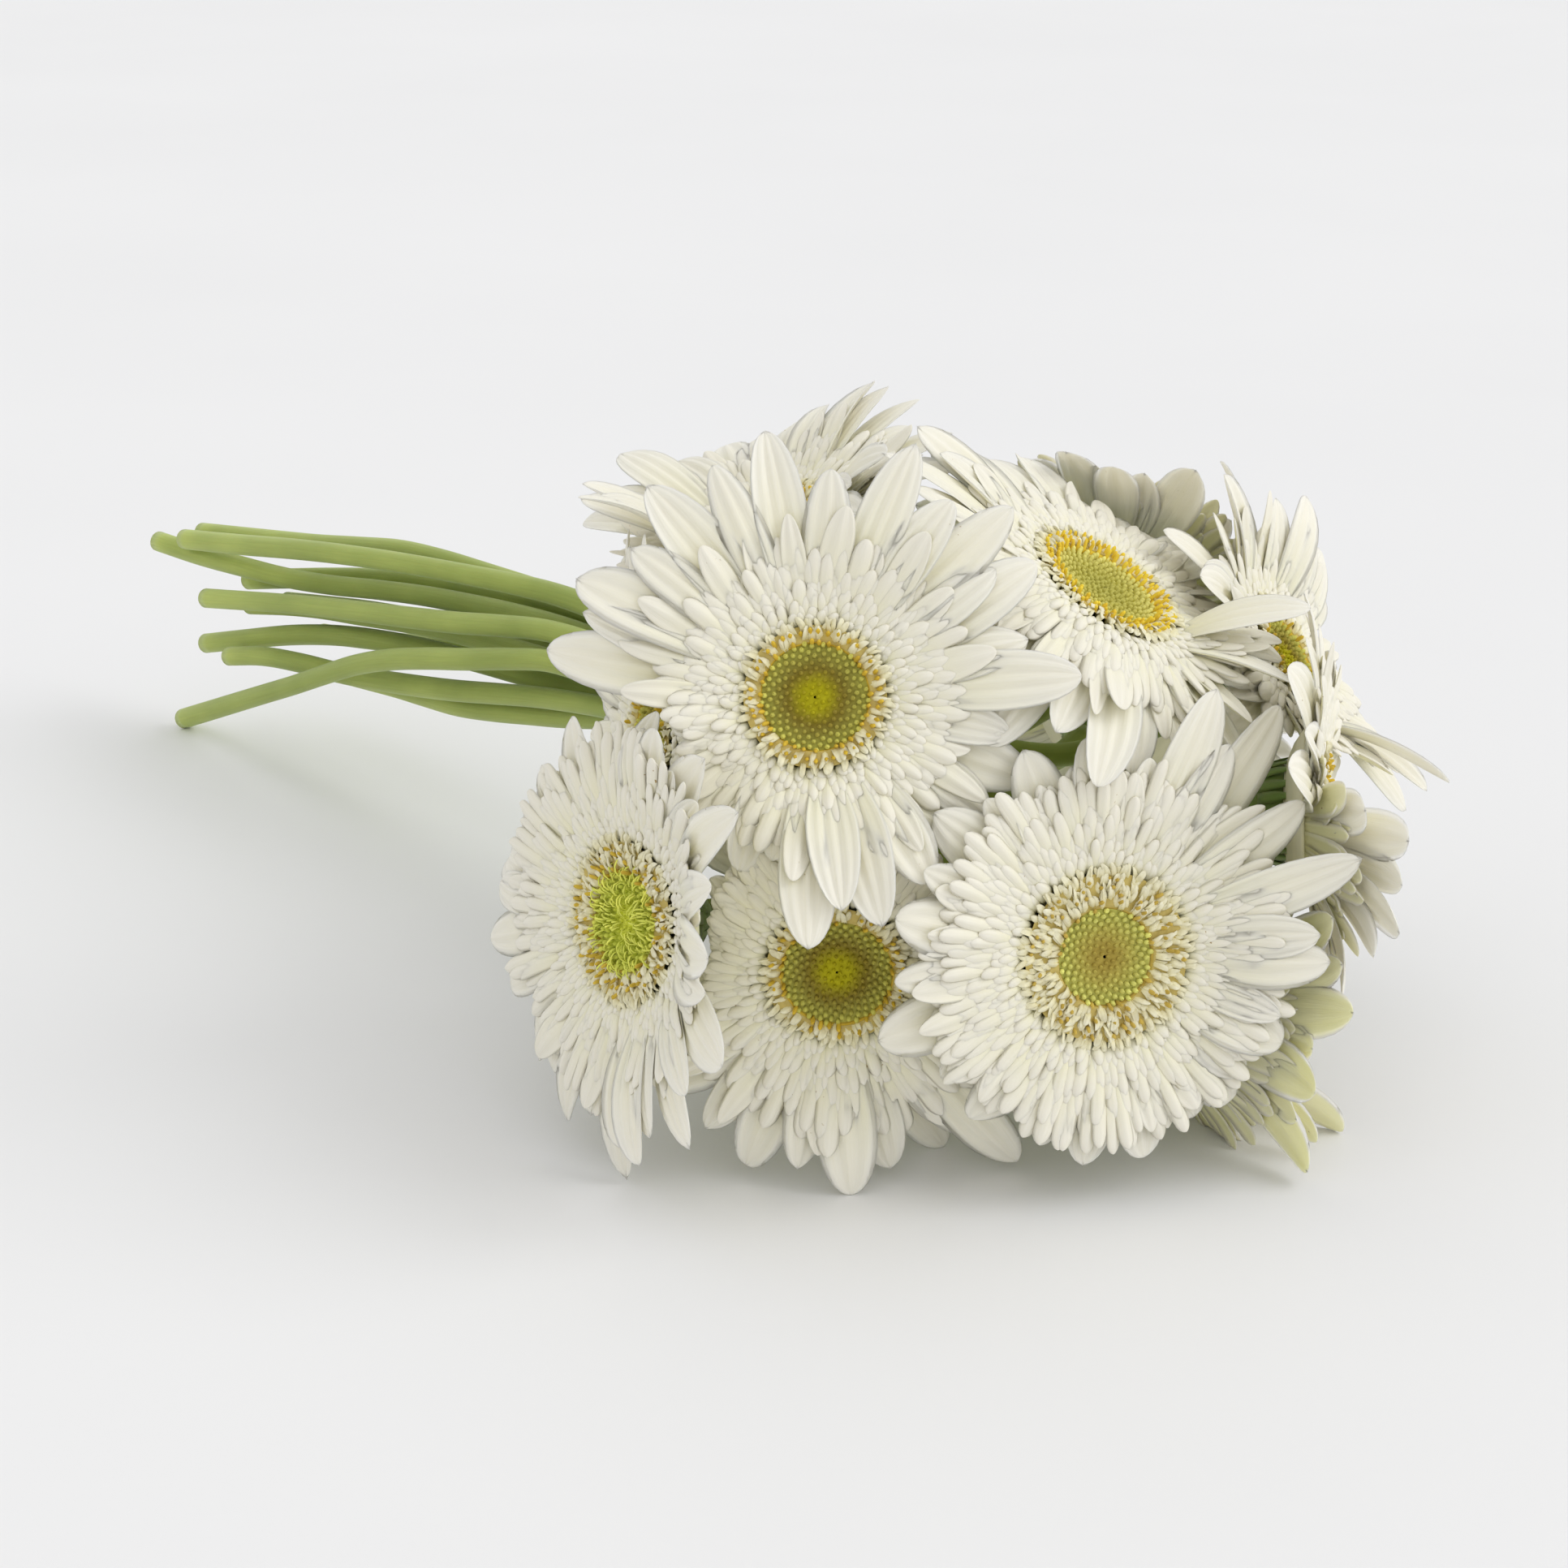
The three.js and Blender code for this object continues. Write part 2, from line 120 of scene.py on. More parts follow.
class Head:
    """Where a flower's head is and which way it faces: the middle of its face, and three directions."""

    def __init__(self, number):
        self.number = number
        self.look = FLOWERS.get(number, DEFAULT)
        disc, _ = weld(f"disc_florets_{number}")
        cup, _ = weld(f"involucre_{number}")
        self.normal = unit(disc.mean(0) - cup.mean(0))
        height = (disc - disc.mean(0)) @ self.normal
        self.centre = disc.mean(0) + self.normal * (height.max() - MM)
        self.side = unit(np.cross((0, 0, 1), self.normal))
        self.up = np.cross(self.normal, self.side)
        self.basis = np.stack([self.side, self.up, self.normal])
        self.disc = np.hypot(*self.local(disc)[:, :2].T).max()
        self.foot = self.local(cup)[:, 2].min()
        self.rays = self.find_rays()

    def local(self, points):
        return (points - self.centre) @ self.basis.T

    def world(self, points):
        return points @ self.basis + self.centre

    def find_rays(self):
        """The turn, lift and length of each ray floret, from where its tip is."""
        points, edges = weld(f"ray_florets_{self.number}")
        places = self.local(points)
        out = np.hypot(places[:, 0], places[:, 1]) > COLLAR_RADIUS
        edges = [(a, b) for a, b in edges if out[a] and out[b]]
        rays = []
        for members in groups(len(points), edges):
            if len(members) < 4 or not out[members[0]]:
                continue
            tip = max((places[i] for i in members), key=lambda p: np.hypot(p[0], p[1]) + abs(p[2]))
            run = np.hypot(tip[0], tip[1]) - self.disc - 2 * MM
            rise = tip[2] + 3 * MM
            half_turn = math.radians((RAY_RISE - RAY_DROOP) / 2)
            length = math.hypot(run, rise) * half_turn / math.sin(half_turn)
            lift = math.degrees(math.atan2(rise, run)) - (RAY_RISE + RAY_DROOP) / 2
            rays.append((math.atan2(tip[1], tip[0]), lift, length))
        return sorted(rays)

    def rays_at(self, turn):
        """How the rays are lifted, and how long they are, at a turn round the head."""
        turns, lifts, lengths = zip(*self.rays)
        return (np.interp(turn, turns, side, period=2 * math.pi) for side in (lifts, lengths))


def stem_centres(number, start):
    """The middles of the rings of a CAD stem, from its flower to its cut end."""
    points, _ = weld(f"stem_{number}")
    gaps = np.linalg.norm(points[:, None] - points[None], axis=2)
    near = [(a, b) for a, b in zip(*np.where(gaps < 4.5 * MM)) if a < b]
    centres = [points[members].mean(0) for members in groups(len(points), near)]
    line = [start]
    while centres:
        nearest = min(range(len(centres)), key=lambda i: np.linalg.norm(centres[i] - line[-1]))
        line.append(centres.pop(nearest))
    return np.array(line[1:])


def smooth_line(points, count):
    """A Catmull-Rom curve through the points, at evenly spread places."""
    padded = np.vstack([2 * points[0] - points[1], points, 2 * points[-1] - points[-2]])
    fine = []
    for i in range(len(points) - 1):
        a, b, c, d = padded[i : i + 4]
        for t in np.linspace(0, 1, 12, endpoint=False):
            square = 2 * a - 5 * b + 4 * c - d
            cube = 3 * b - a - 3 * c + d
            fine.append(0.5 * (2 * b + (c - a) * t + square * t**2 + cube * t**3))
    fine = np.array([*fine, points[-1]])
    run = np.concatenate([[0], np.cumsum(np.linalg.norm(np.diff(fine, axis=0), axis=1))])
    wanted = np.linspace(0, run[-1], count)
    return np.stack([np.interp(wanted, run, fine[:, k]) for k in range(3)], axis=1)


# ---- Mesh building ----
class Surface:
    """Rings of points joined into skins, with a place along and across each, and a tint."""

    def __init__(self):
        self.points, self.faces, self.coords, self.tints = [], [], [], []
        self.count = 0
        self.firsts = []  # the first face of each further material

    def add(self, rings, coords, tints, cap=False):
        n, k = rings.shape[:2]
        i, j = np.meshgrid(np.arange(n - 1), np.arange(k), indexing="ij")
        after = (j + 1) % k
        quads = np.stack([i * k + j, i * k + after, (i + 1) * k + after, (i + 1) * k + j], axis=-1)
        self.faces += (quads.reshape(-1, 4) + self.count).tolist()
        if cap:
            self.faces.append(list(range(self.count + k - 1, self.count - 1, -1)))
            self.faces.append(list(range(self.count + (n - 1) * k, self.count + n * k)))
        self.points.append(rings.reshape(-1, 3))
        self.coords.append(coords.reshape(-1, 2))
        self.tints.append(np.broadcast_to(tints, (n, k)).reshape(-1))
        self.count += n * k

    def build(self, name, materials, node):
        points = np.concatenate(self.points)
        points[:, 2] = np.maximum(points[:, 2], 0)  # the bunch lies on a surface
        mesh = bpy.data.meshes.new(name)
        mesh.from_pydata(points.tolist(), [], self.faces)
        mesh.shade_smooth()
        corners = np.empty(len(mesh.loops), int)
        mesh.loops.foreach_get("vertex_index", corners)
        layer = mesh.uv_layers.new(name="grain")
        layer.data.foreach_set("uv", np.concatenate(self.coords)[corners].astype(np.float32).ravel())
        tint = mesh.attributes.new("tint", "FLOAT", "POINT")
        tint.data.foreach_set("value", np.concatenate(self.tints).astype(np.float32))
        for material in materials:
            mesh.materials.append(material)
        order = np.searchsorted(self.firsts, np.arange(len(self.faces)), side="right")
        mesh.polygons.foreach_set("material_index", order.astype(np.int32))
        piece = bpy.data.objects.new(name, mesh)
        bpy.context.scene.collection.objects.link(piece)
        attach(piece, "root")
        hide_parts(node)


def blade_profile(across):
    """Places round a blade's cross-section: its face from 1 to -1, then back along its underside."""
    face = np.linspace(1, -1, across + 1)
    back = np.linspace(-1, 1, across // 2 + 1)[1:-1]
    return np.concatenate([face, back]), np.concatenate([face * 0 + 1, back * 0 - 1])


def add_blade(surface, head, turn, root, shape, slopes, length, *, thickness, across=4, cup=0.0,
              twist=0.0, sway=0.0, ridges=0, ridge_depth=0.0, notch=0.0, tint=(0.0, 0.0)):
    """A petal-like blade on a head.

    root: its radius and height. tint: at its root, and on its back.
    shape: stations along it, and half its width at each. slopes: its slope at each, in radians.
    cup: how far its edges stand above its middle, as a share of its half width.
    sway: how far its tip is moved round the head. notch: how uneven the end of its tip is.
    """
    along, widths = shape
    steps = np.diff(along) * length
    middles = 0.5 * (slopes[1:] + slopes[:-1])
    radius = root[0] + np.concatenate([[0], np.cumsum(np.cos(middles) * steps)])
    height = root[1] + np.concatenate([[0], np.cumsum(np.sin(middles) * steps)])
    shift = sway * along**2
    u, face = blade_profile(across)
    roll = twist * along
    ridge = ridge_depth * np.cos(ridges * math.pi * u) * (1 - u**8)
    fade = np.clip(np.minimum(along / 0.2, (1 - along) / 0.15), 0, 1)
    body = face * 0.5 * thickness * (1 - u**2) * np.sqrt(widths / widths.max())[:, None]
    lift = cup * widths[:, None] * u**2 + body + ridge * fade[:, None]
    sideways = widths[:, None] * u
    # Turning the cross-section about the blade's own line
    across_move = sideways * np.cos(roll)[:, None] - lift * np.sin(roll)[:, None]
    normal_move = sideways * np.sin(roll)[:, None] + lift * np.cos(roll)[:, None]
    reach = notch * length * np.cos(3 * math.pi * u) * (1 - u**2)
    reach = reach[None] * np.clip((along - 0.75) / 0.25, 0, 1)[:, None] ** 1.5
    r = radius[:, None] - normal_move * np.sin(slopes)[:, None] + reach * np.cos(slopes)[:, None]
    z = height[:, None] + normal_move * np.cos(slopes)[:, None] + reach * np.sin(slopes)[:, None]
    s = across_move + shift[:, None]
    cos, sin = math.cos(turn), math.sin(turn)
    rings = np.stack([r * cos - s * sin, r * sin + s * cos, z], axis=-1)
    places_across = np.broadcast_to(u * widths.max(), r.shape)
    places_along = np.broadcast_to(along[:, None] * length, r.shape)
    coords = np.stack([places_across, places_along], axis=-1) / MM
    tints = tint[0] * (1 - along[:, None]) ** 1.6 + tint[1] * (face < 0)
    surface.add(head.world(rings), coords, np.clip(tints, 0, 1), cap=True)


ROUND_TIP = np.radians([24, 46, 68, 87])
FINE_TIP = np.radians([14, 28, 42, 55, 67, 78, 87])


def ray_shape(width, slender):
    """Stations along a ray floret and half its width at each.

    It is narrow at its root, full past its middle, and has an oval tip."""
    body = np.linspace(0, slender, 10)
    along = np.concatenate([body, slender + (1 - slender) * np.sin(FINE_TIP)])
    swell = 0.5 + 0.5 * np.sin(0.5 * math.pi * body / slender) ** 1.3
    return along, 0.5 * width * np.concatenate([swell, np.cos(FINE_TIP) ** 1.05])


def strap_shape(width, length):
    """Stations along an inner floret and half its width at each: even, with a round tip."""
    tip = min(0.5, 0.85 * width / length)
    body = np.linspace(0, 1 - tip, 5)
    along = np.concatenate([body, 1 - tip + tip * np.sin(ROUND_TIP)])
    swell = 0.6 + 0.4 * np.minimum(1, body / body[-1] / 0.6)
    return along, 0.5 * width * np.concatenate([swell, np.cos(ROUND_TIP)])


def add_turned(surface, head, profile, sides, tints):
    """A skin round a head's axis, from its middle or top outwards, given as pairs of radius and height."""
    turns = np.linspace(2 * math.pi, 0, sides, endpoint=False)
    rings = np.array([[(r * math.cos(t), r * math.sin(t), z) for t in turns] for r, z in profile])
    surface.add(head.world(rings), np.zeros((*rings.shape[:2], 2)), tints)


# ---- The pieces of a head ----
def with_claw(head, shape, slopes, length):
    """A ray's stations, carried on inwards to where it grows from the receptacle."""
    along, widths = shape
    run = head.disc + 2 * MM - CLAW_RADIUS
    rise = CLAW_DEPTH - 3 * MM
    claw = math.hypot(run, rise)
    total = claw + length
    along = np.concatenate([np.linspace(0, claw, 3, endpoint=False), claw + along * length]) / total
    widths = np.concatenate([np.linspace(0.55, 0.9, 3) * widths[0], widths])
    slopes = np.concatenate([np.full(3, math.atan2(rise, run)), slopes])
    return (CLAW_RADIUS, -CLAW_DEPTH), (along, widths), slopes, total


def add_ray(surface, head, turn, lift, length, width, curl):
    shape = ray_shape(width * min(1, length / (26 * MM)), rng.uniform(0.5, 0.66))
    along = shape[0]
    bend = (RAY_DROOP - RAY_RISE) * along + curl * np.clip(along - 0.6, 0, 1) / 0.4
    slopes = np.radians(RAY_RISE + lift + bend)
    root, shape, slopes, length = with_claw(head, shape, slopes, length)
    add_blade(
        surface, head, turn, root, shape, slopes, length,
        thickness=0.7 * MM, across=16, cup=rng.uniform(-0.12, 0.36), twist=rng.uniform(-0.3, 0.3),
        sway=rng.uniform(-2.5, 2.5) * MM, ridges=rng.choice([3, 4]), ridge_depth=0.36 * MM,
        notch=rng.uniform(0.0, 0.02), tint=(0.7, head.look["back"]),
    )


def add_rays(surface, head):
    """The long outer florets, where the frame has them, and a shorter one in each gap."""
    rays = head.rays
    for i, (turn, lift, length) in enumerate(rays):
        add_ray(surface, head, turn, lift, length, RAY_WIDTH * rng.uniform(0.9, 1.08), rng.uniform(-14, 10))
        next_turn, next_lift, next_length = rays[(i + 1) % len(rays)]
        gap = (next_turn - turn) % (2 * math.pi)
        if gap > math.radians(50):
            continue
        between = min(length, next_length) * rng.uniform(0.78, 0.94)
        add_ray(surface, head, turn + gap / 2, (lift + next_lift) / 2 + 5, between,
                RAY_WIDTH * rng.uniform(0.75, 0.95), rng.uniform(-14, 8))


def shingle_slopes(along, length, lift, tip_bend):
    """The slopes, in degrees, of a floret that lies on the row outside it, and with that on the rays."""
    run = along * length / MM
    level = 9 + np.clip(lift, -30, 30) * np.clip(run / 8, 0, 1)
    return 42 * np.exp(-run / 2.6) + level - tip_bend * np.clip((along - 0.65) / 0.35, 0, 1)


def add_half_rays(surface, head):
    """Florets between the rays and the inner florets in size, here and there round the head."""
    count = head.look["half_rays"]
    for i in range(count):
        turn = 2 * math.pi * (i + rng.uniform(-0.35, 0.35)) / count
        lift, reach = head.rays_at(turn)
        length = min(rng.uniform(0.5, 0.78) * RAY_LENGTH, 0.82 * reach)
        if length < 14 * MM:
            continue
        shape = ray_shape(rng.uniform(5.5, 8.5) * MM, rng.uniform(0.5, 0.66))
        slopes = np.radians(shingle_slopes(shape[0], length, lift, rng.uniform(4, 24)) + rng.uniform(-2, 4))
        add_blade(
            surface, head, turn, (head.disc + 1.6 * MM, -3.9 * MM), shape, slopes, length,
            thickness=0.8 * MM, across=12, cup=rng.uniform(-0.35, 0.25), twist=rng.uniform(-0.3, 0.3),
            sway=rng.uniform(-2, 2) * MM, ridges=2, ridge_depth=0.24 * MM, tint=(0.8, 0.6),
        )


def add_inner_florets(surface, head):
    """Rows of straps round the disc, short inside and long outside, lying on each other like shingles."""
    look = head.look
    rows = look["rows"]
    narrow, wide = look["widths"]
    for row in range(rows):
        share = row / (rows - 1)
        usual = (look["first"] + (look["last"] - look["first"]) * share) * MM
        width = (narrow + (wide - narrow) * share**1.5) * MM
        root_radius = head.disc + (-0.2 + 1.6 * share) * MM
        count = int(2 * math.pi * (root_radius + 0.85 * usual) / (0.84 * width))
        for i in range(count):
            turn = 2 * math.pi * (i + 0.5 * (row % 2) + rng.uniform(-0.22, 0.22)) / count
            lift, reach = head.rays_at(turn)
            length = min(usual * rng.uniform(0.85, 1.14), 0.95 * reach)
            shape = strap_shape(width * rng.uniform(0.88, 1.14), length)
            slopes = shingle_slopes(shape[0], length, lift, rng.uniform(10, 36)) + rng.uniform(-3, 4)
            root = (root_radius, (-1.2 - 2.5 * share + rng.uniform(-0.2, 0.2)) * MM)
            # Their undersides are tinted darker and yellow-green (0.75 on the back): partly their own
            # colour, partly painted warm shade for the crevices between the rows.
            add_blade(
                surface, head, turn, root, shape, np.radians(slopes),
                length, thickness=0.9 * MM, across=6 if share > 0.4 else 4, cup=rng.uniform(-0.42, -0.12),
                twist=rng.uniform(-0.25, 0.25), sway=rng.uniform(-0.8, 0.8) * MM,
                ridges=2 if share > 0.4 else 0, ridge_depth=0.1 * MM, tint=(0.9, 0.75),
            )


def add_receptacle(surface, head):
    """The closed surface that the florets grow from."""
    profile = [
        (head.disc - 0.5 * MM, -3.6 * MM), (head.disc + 1.5 * MM, -2.6 * MM), (head.disc + 4 * MM, -3 * MM),
        (head.disc + 4.5 * MM, -3.6 * MM), (16 * MM, -6 * MM), (11 * MM, -8 * MM),
    ]
    add_turned(surface, head, profile, 36, 0.5)


def dome_height(share):
    """The disc's surface: raised at its rim, and again a little in the middle."""
    return (0.6 * share**2 + 0.5 * math.exp(-((share / 0.25) ** 2)) - 0.4) * MM


BUD_TINT_RANGE = 0.5  # buds take the tints from 0 in the middle of the disc to this at its rim
ANTHER_TINTS = (0.62, 0.72)
SCROLL_TINTS = (0.80, 1.0)


def add_disc_bed(surface, head):
    """The surface that the buds and, higher and cream, the open florets stand on."""
    edge = head.look["open_share"]
    shares = np.append(np.linspace(0.02, edge, 7), np.linspace(edge + 0.03, 1, 4))
    lifts = np.where(shares > edge, 0.6, -0.7) * MM
    profile = [(share * head.disc, dome_height(share) + lift) for share, lift in zip(shares, lifts)]
    tints = np.where(shares > edge, 0.81, 0.95 * BUD_TINT_RANGE * shares / edge)[:, None]
    add_turned(surface, head, profile, 36, tints)


def add_buds(surface, head):
    edge = head.disc * head.look["open_share"]
    spacing = 0.98 * MM
    count = int(1.15 * (edge / spacing) ** 2 * math.pi / 2.6)
    golden = math.pi * (3 - math.sqrt(5))
    sides = np.linspace(0, 2 * math.pi, 6, endpoint=False)
    for k in range(count):
        share = math.sqrt((k + 0.5) / count)
        turn = k * golden
        size = (0.43 + 0.2 * share) * MM * rng.uniform(0.92, 1.08)
        tall = (1.0 + 0.6 * share) * MM * rng.uniform(0.88, 1.12)
        lean = 0.25 * share
        rings = []
        for level, wide in ((0, 0.8), (0.45, 1.0), (0.8, 0.8), (1.0, 0.12)):
            r = share * edge + lean * level * tall
            z = dome_height(share) - 0.8 * MM + level * tall
            x = r * math.cos(turn) + size * wide * np.cos(sides)
            y = r * math.sin(turn) + size * wide * np.sin(sides)
            rings.append(np.stack([x, y, np.full(6, z)], axis=1))
        tint = BUD_TINT_RANGE * share * 0.9 + rng.uniform(-0.03, 0.03)
        tints = np.clip(np.array([0, 0.01, 0.03, 0.04])[:, None] + tint, 0, BUD_TINT_RANGE)
        surface.add(head.world(np.array(rings)), np.zeros((4, 6, 2)), tints)


def add_open_florets(surface, head):
    """Rows of opened florets round the buds: cream lips curled outwards, and yellow anthers inside."""
    edge = head.disc * head.look["open_share"]
    rows = max(2, round((head.disc - edge) / (1.75 * MM)))
    for row in range(rows):
        radius = edge + (head.disc - edge) * (row + 0.25) / rows
        count = int(2 * math.pi * radius / (2.1 * MM))
        for i in range(count):
            turn = 2 * math.pi * (i + 0.5 * (row % 2) + rng.uniform(-0.25, 0.25)) / count
            for lip in (1, 2):
                length = rng.uniform(3.6, 5.0) * MM
                shape = strap_shape(rng.uniform(1.2, 1.9) * MM, length)
                slopes = np.radians(95 + (rng.uniform(-70, -10) - 95) * shape[0])
                add_blade(
                    surface, head, turn + rng.uniform(-0.5, 0.5) * MM / radius,
                    (radius + rng.uniform(-0.3, 0.5) * MM, -0.9 * MM), shape, slopes, length,
                    thickness=0.45 * MM, across=6, cup=rng.uniform(-0.5, 0.5), twist=rng.uniform(-1.2, 1.2),
                    sway=rng.uniform(-1.0, 1.0) * MM * lip, ridges=2, ridge_depth=0.1 * MM,
                )
                paler = SCROLL_TINTS[0] + (SCROLL_TINTS[1] - SCROLL_TINTS[0]) * shape[0] ** 0.7
                surface.tints[-1] = np.repeat(paler, len(surface.tints[-1]) // len(paler))
            if rng.random() < head.look["anthers"]:
                length = rng.uniform(2.8, 3.8) * MM
                shape = strap_shape(1.0 * MM, length)
                slopes = np.radians(90 + (rng.uniform(40, 80) - 90) * shape[0])
                add_blade(
                    surface, head, turn + 0.5 * math.pi / count, (radius - 0.5 * MM, -0.9 * MM), shape,
                    slopes, length, thickness=0.9 * MM, across=4,
                )
                surface.tints[-1] = np.full_like(surface.tints[-1], rng.uniform(*ANTHER_TINTS))


def add_curls(surface, head):
    """The curled green styles that stand over a disc just opening."""
    edge = head.disc * head.look["open_share"]
    for _ in range(CURLY[head.number]):
        share = math.sqrt(rng.random())
        length = rng.uniform(3.5, 5.5) * MM
        shape = strap_shape(0.5 * MM, length)
        slopes = np.radians(95 + (rng.uniform(-190, -60) - 95) * shape[0])
        add_blade(
            surface, head, rng.uniform(0, 2 * math.pi), (share * edge, 0.2 * MM), shape, slopes,
            length, thickness=0.4 * MM, across=4, sway=rng.uniform(-2.5, 2.5) * MM,
        )
        surface.tints[-1] = np.full_like(surface.tints[-1], rng.uniform(0.36, 0.5))


# Of each row of bracts: the radius and height it starts at, how many it has, and how long they are, in mm.
BRACT_ROWS = ((4.4, 1.6, 11, 8), (7.4, 4.6, 16, 9.5), (10.0, 8.0, 20, 9))


def add_involucre(surface, head):
    """The green cup behind the head, of overlapping pointed bracts."""
    profile = [
        (9 * MM, -7.5 * MM), (11.2 * MM, -8.4 * MM), (10.8 * MM, head.foot + 9 * MM),
        (7.4 * MM, head.foot + 4 * MM), (3.4 * MM, head.foot), (0.5 * MM, head.foot),
    ]
    add_turned(surface, head, profile, 32, 0.3)
    along = np.append(np.linspace(0, 0.9, 6), 1)
    shape = along, 1.45 * MM * np.append(np.sin(math.pi * (0.35 + 0.6 * along[:-1])), 0.08)
    for row, (radius, height, count, length) in enumerate(BRACT_ROWS):
        for i in range(count):
            turn = 2 * math.pi * (i + 0.5 * (row % 2) + rng.uniform(-0.1, 0.1)) / count
            slopes = np.radians(48 + 6 * row + (18 + 4 * row) * along + rng.uniform(-4, 4))
            add_blade(
                surface, head, turn, (radius * MM, head.foot + height * MM), shape, slopes, length * MM,
                thickness=0.6 * MM, across=4, cup=-0.25, tint=(0.5, 0.0),
            )


# ---- Stems and band ----
def add_tube(surface, line, radii, sides, coord_width, tint):
    """A closed tube along a line of points, with its cross-section carried along it without twisting."""
    tangents = np.gradient(line, axis=0)
    tangents /= np.linalg.norm(tangents, axis=1)[:, None]
    normal = unit(np.cross(tangents[0], (0.3, 0.9, 0.2)))
    angles = np.linspace(0, 2 * math.pi, sides, endpoint=False)
    rings = []
    for middle, tangent, radius in zip(line, tangents, radii):
        normal = unit(normal - tangent * (normal @ tangent))
        other = np.cross(tangent, normal)
        ring = np.outer(np.cos(angles), normal) + np.outer(np.sin(angles), other)
        rings.append(middle + radius * ring)
    run = np.concatenate([[0], np.cumsum(np.linalg.norm(np.diff(line, axis=0), axis=1))])
    coords = np.stack(np.broadcast_arrays(angles[None] * coord_width / MM, run[:, None] / MM), axis=-1)
    surface.add(np.array(rings), coords, tint, cap=True)


def build_stem(head, material):
    """A stem, wider where it meets its head and paler towards its cut end."""
    surface = Surface()
    start = head.centre + head.normal * head.foot
    line = smooth_line(stem_centres(head.number, start), 90)
    along = np.linspace(0, 1, 90)
    wobble = 0.035 * np.sin(9 * along * (1 + rng.uniform(0, 0.5)) + rng.uniform(0, 6))
    radii = STEM_RADIUS * (0.97 + wobble)
    radii[:3] = STEM_RADIUS * np.array([1.12, 1.08, 1.02])
    tint = (0.35 + 0.3 * along + 0.5 * np.clip((along - 0.97) / 0.03, 0, 1))[:, None]
    add_tube(surface, line, radii, 18, STEM_RADIUS, tint)
    surface.build(f"green_stem_{head.number}", [material], f"stem_{head.number}")


def build_band(material):
    """One elastic band wound three times round the stems."""
    low, high = (np.array(v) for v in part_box("rubber_band"))
    centre = (low + high) / 2
    outside = (high[2] - low[2]) / 2
    width = high[0] - low[0]
    surface = Surface()
    turns = np.linspace(0, 2 * math.pi, 64, endpoint=False)
    for i in range(3):
        shift = width * (i - 1) / 3.3
        radius = outside - (0.75 + 0.12 * i) * MM
        lean = (0.6, -0.4, 0.5)[i] * MM
        x = centre[0] + shift + lean * np.sin(turns + i)
        ring = []
        for angle in np.linspace(0, 2 * math.pi, 12, endpoint=False):
            dx = 1.3 * MM * np.sign(math.cos(angle)) * abs(math.cos(angle)) ** 0.6
            dr = 0.62 * MM * np.sign(math.sin(angle)) * abs(math.sin(angle)) ** 0.6
            ring.append(np.stack([x + dx, centre[1] + (radius + dr) * np.cos(turns),
                                  centre[2] + (radius + dr) * np.sin(turns)], axis=1))
        rings = np.array(ring).transpose(1, 0, 2)
        rings = np.concatenate([rings, rings[:1]])
        coords = np.zeros((*rings.shape[:2], 2))
        coords[..., 1] = np.linspace(0, 90, len(rings))[:, None]
        surface.add(rings, coords, 0.5)
    surface.build("wound_band", [material], "rubber_band")


# ---- Materials ----
class Look:
    """A node material under construction."""

    def __init__(self, name):
        self.material = bpy.data.materials.new(name)
        self.material.use_nodes = True
        self.tree = self.material.node_tree
        self.shader = self.tree.nodes["Principled BSDF"]

    def node(self, kind, **settings):
        made = self.tree.nodes.new(kind)
        for key, value in settings.items():
            if key in made.inputs:
                made.inputs[key].default_value = value
            else:
                setattr(made, key, value)
        return made

    def link(self, source, target):
        self.tree.links.new(source, target)

    def tint(self):
        return self.node("ShaderNodeAttribute", attribute_name="tint").outputs["Fac"]

    def grain(self, scale):
        """The place across and along a piece, in mm, times scale."""
        place = self.node("ShaderNodeUVMap", uv_map="grain").outputs["UV"]
        mapping = self.node("ShaderNodeMapping")
        mapping.inputs["Scale"].default_value = scale
        self.link(place, mapping.inputs["Vector"])
        return mapping.outputs["Vector"]

    def noise(self, vector, scale, detail=3.0, roughness=0.5):
        made = self.node("ShaderNodeTexNoise", Scale=scale, Detail=detail, Roughness=roughness)
        self.link(vector, made.inputs["Vector"])
        return made.outputs["Fac"]

    def place(self):
        return self.node("ShaderNodeTexCoord").outputs["Object"]

    def ramp(self, value, stops):
        made = self.node("ShaderNodeValToRGB")
        elements = made.color_ramp.elements
        while len(elements) > 1:
            elements.remove(elements[-1])
        for i, (position, colour) in enumerate(stops):
            element = elements[0] if i == 0 else elements.new(position)
            element.position = position
            element.color = (*colour, 1)
        self.link(value, made.inputs["Fac"])
        return made.outputs["Color"]

    def mix(self, factor, a, b, blend="MIX"):
        made = self.node("ShaderNodeMix", data_type="RGBA", blend_type=blend)
        for value, target in ((factor, made.inputs[0]), (a, made.inputs[6]), (b, made.inputs[7])):
            if isinstance(value, bpy.types.NodeSocket):
                self.link(value, target)
            else:
                target.default_value = value if isinstance(value, float) else (*value, 1)
        return made.outputs[2]

    def math(self, operation, a, b):
        made = self.node("ShaderNodeMath", operation=operation)
        for value, target in zip((a, b), made.inputs):
            if isinstance(value, bpy.types.NodeSocket):
                self.link(value, target)
            else:
                target.default_value = value
        return made.outputs[0]

    def range(self, value, low, high, to_low=0.0, to_high=1.0):
        made = self.node("ShaderNodeMapRange")
        self.link(value, made.inputs["Value"])
        for key, number in (("From Min", low), ("From Max", high), ("To Min", to_low), ("To Max", to_high)):
            made.inputs[key].default_value = number
        return made.outputs["Result"]

    def bump(self, height, strength, distance):
        made = self.node("ShaderNodeBump", Strength=strength, Distance=distance)
        self.link(height, made.inputs["Height"])
        self.link(made.outputs["Normal"], self.shader.inputs["Normal"])


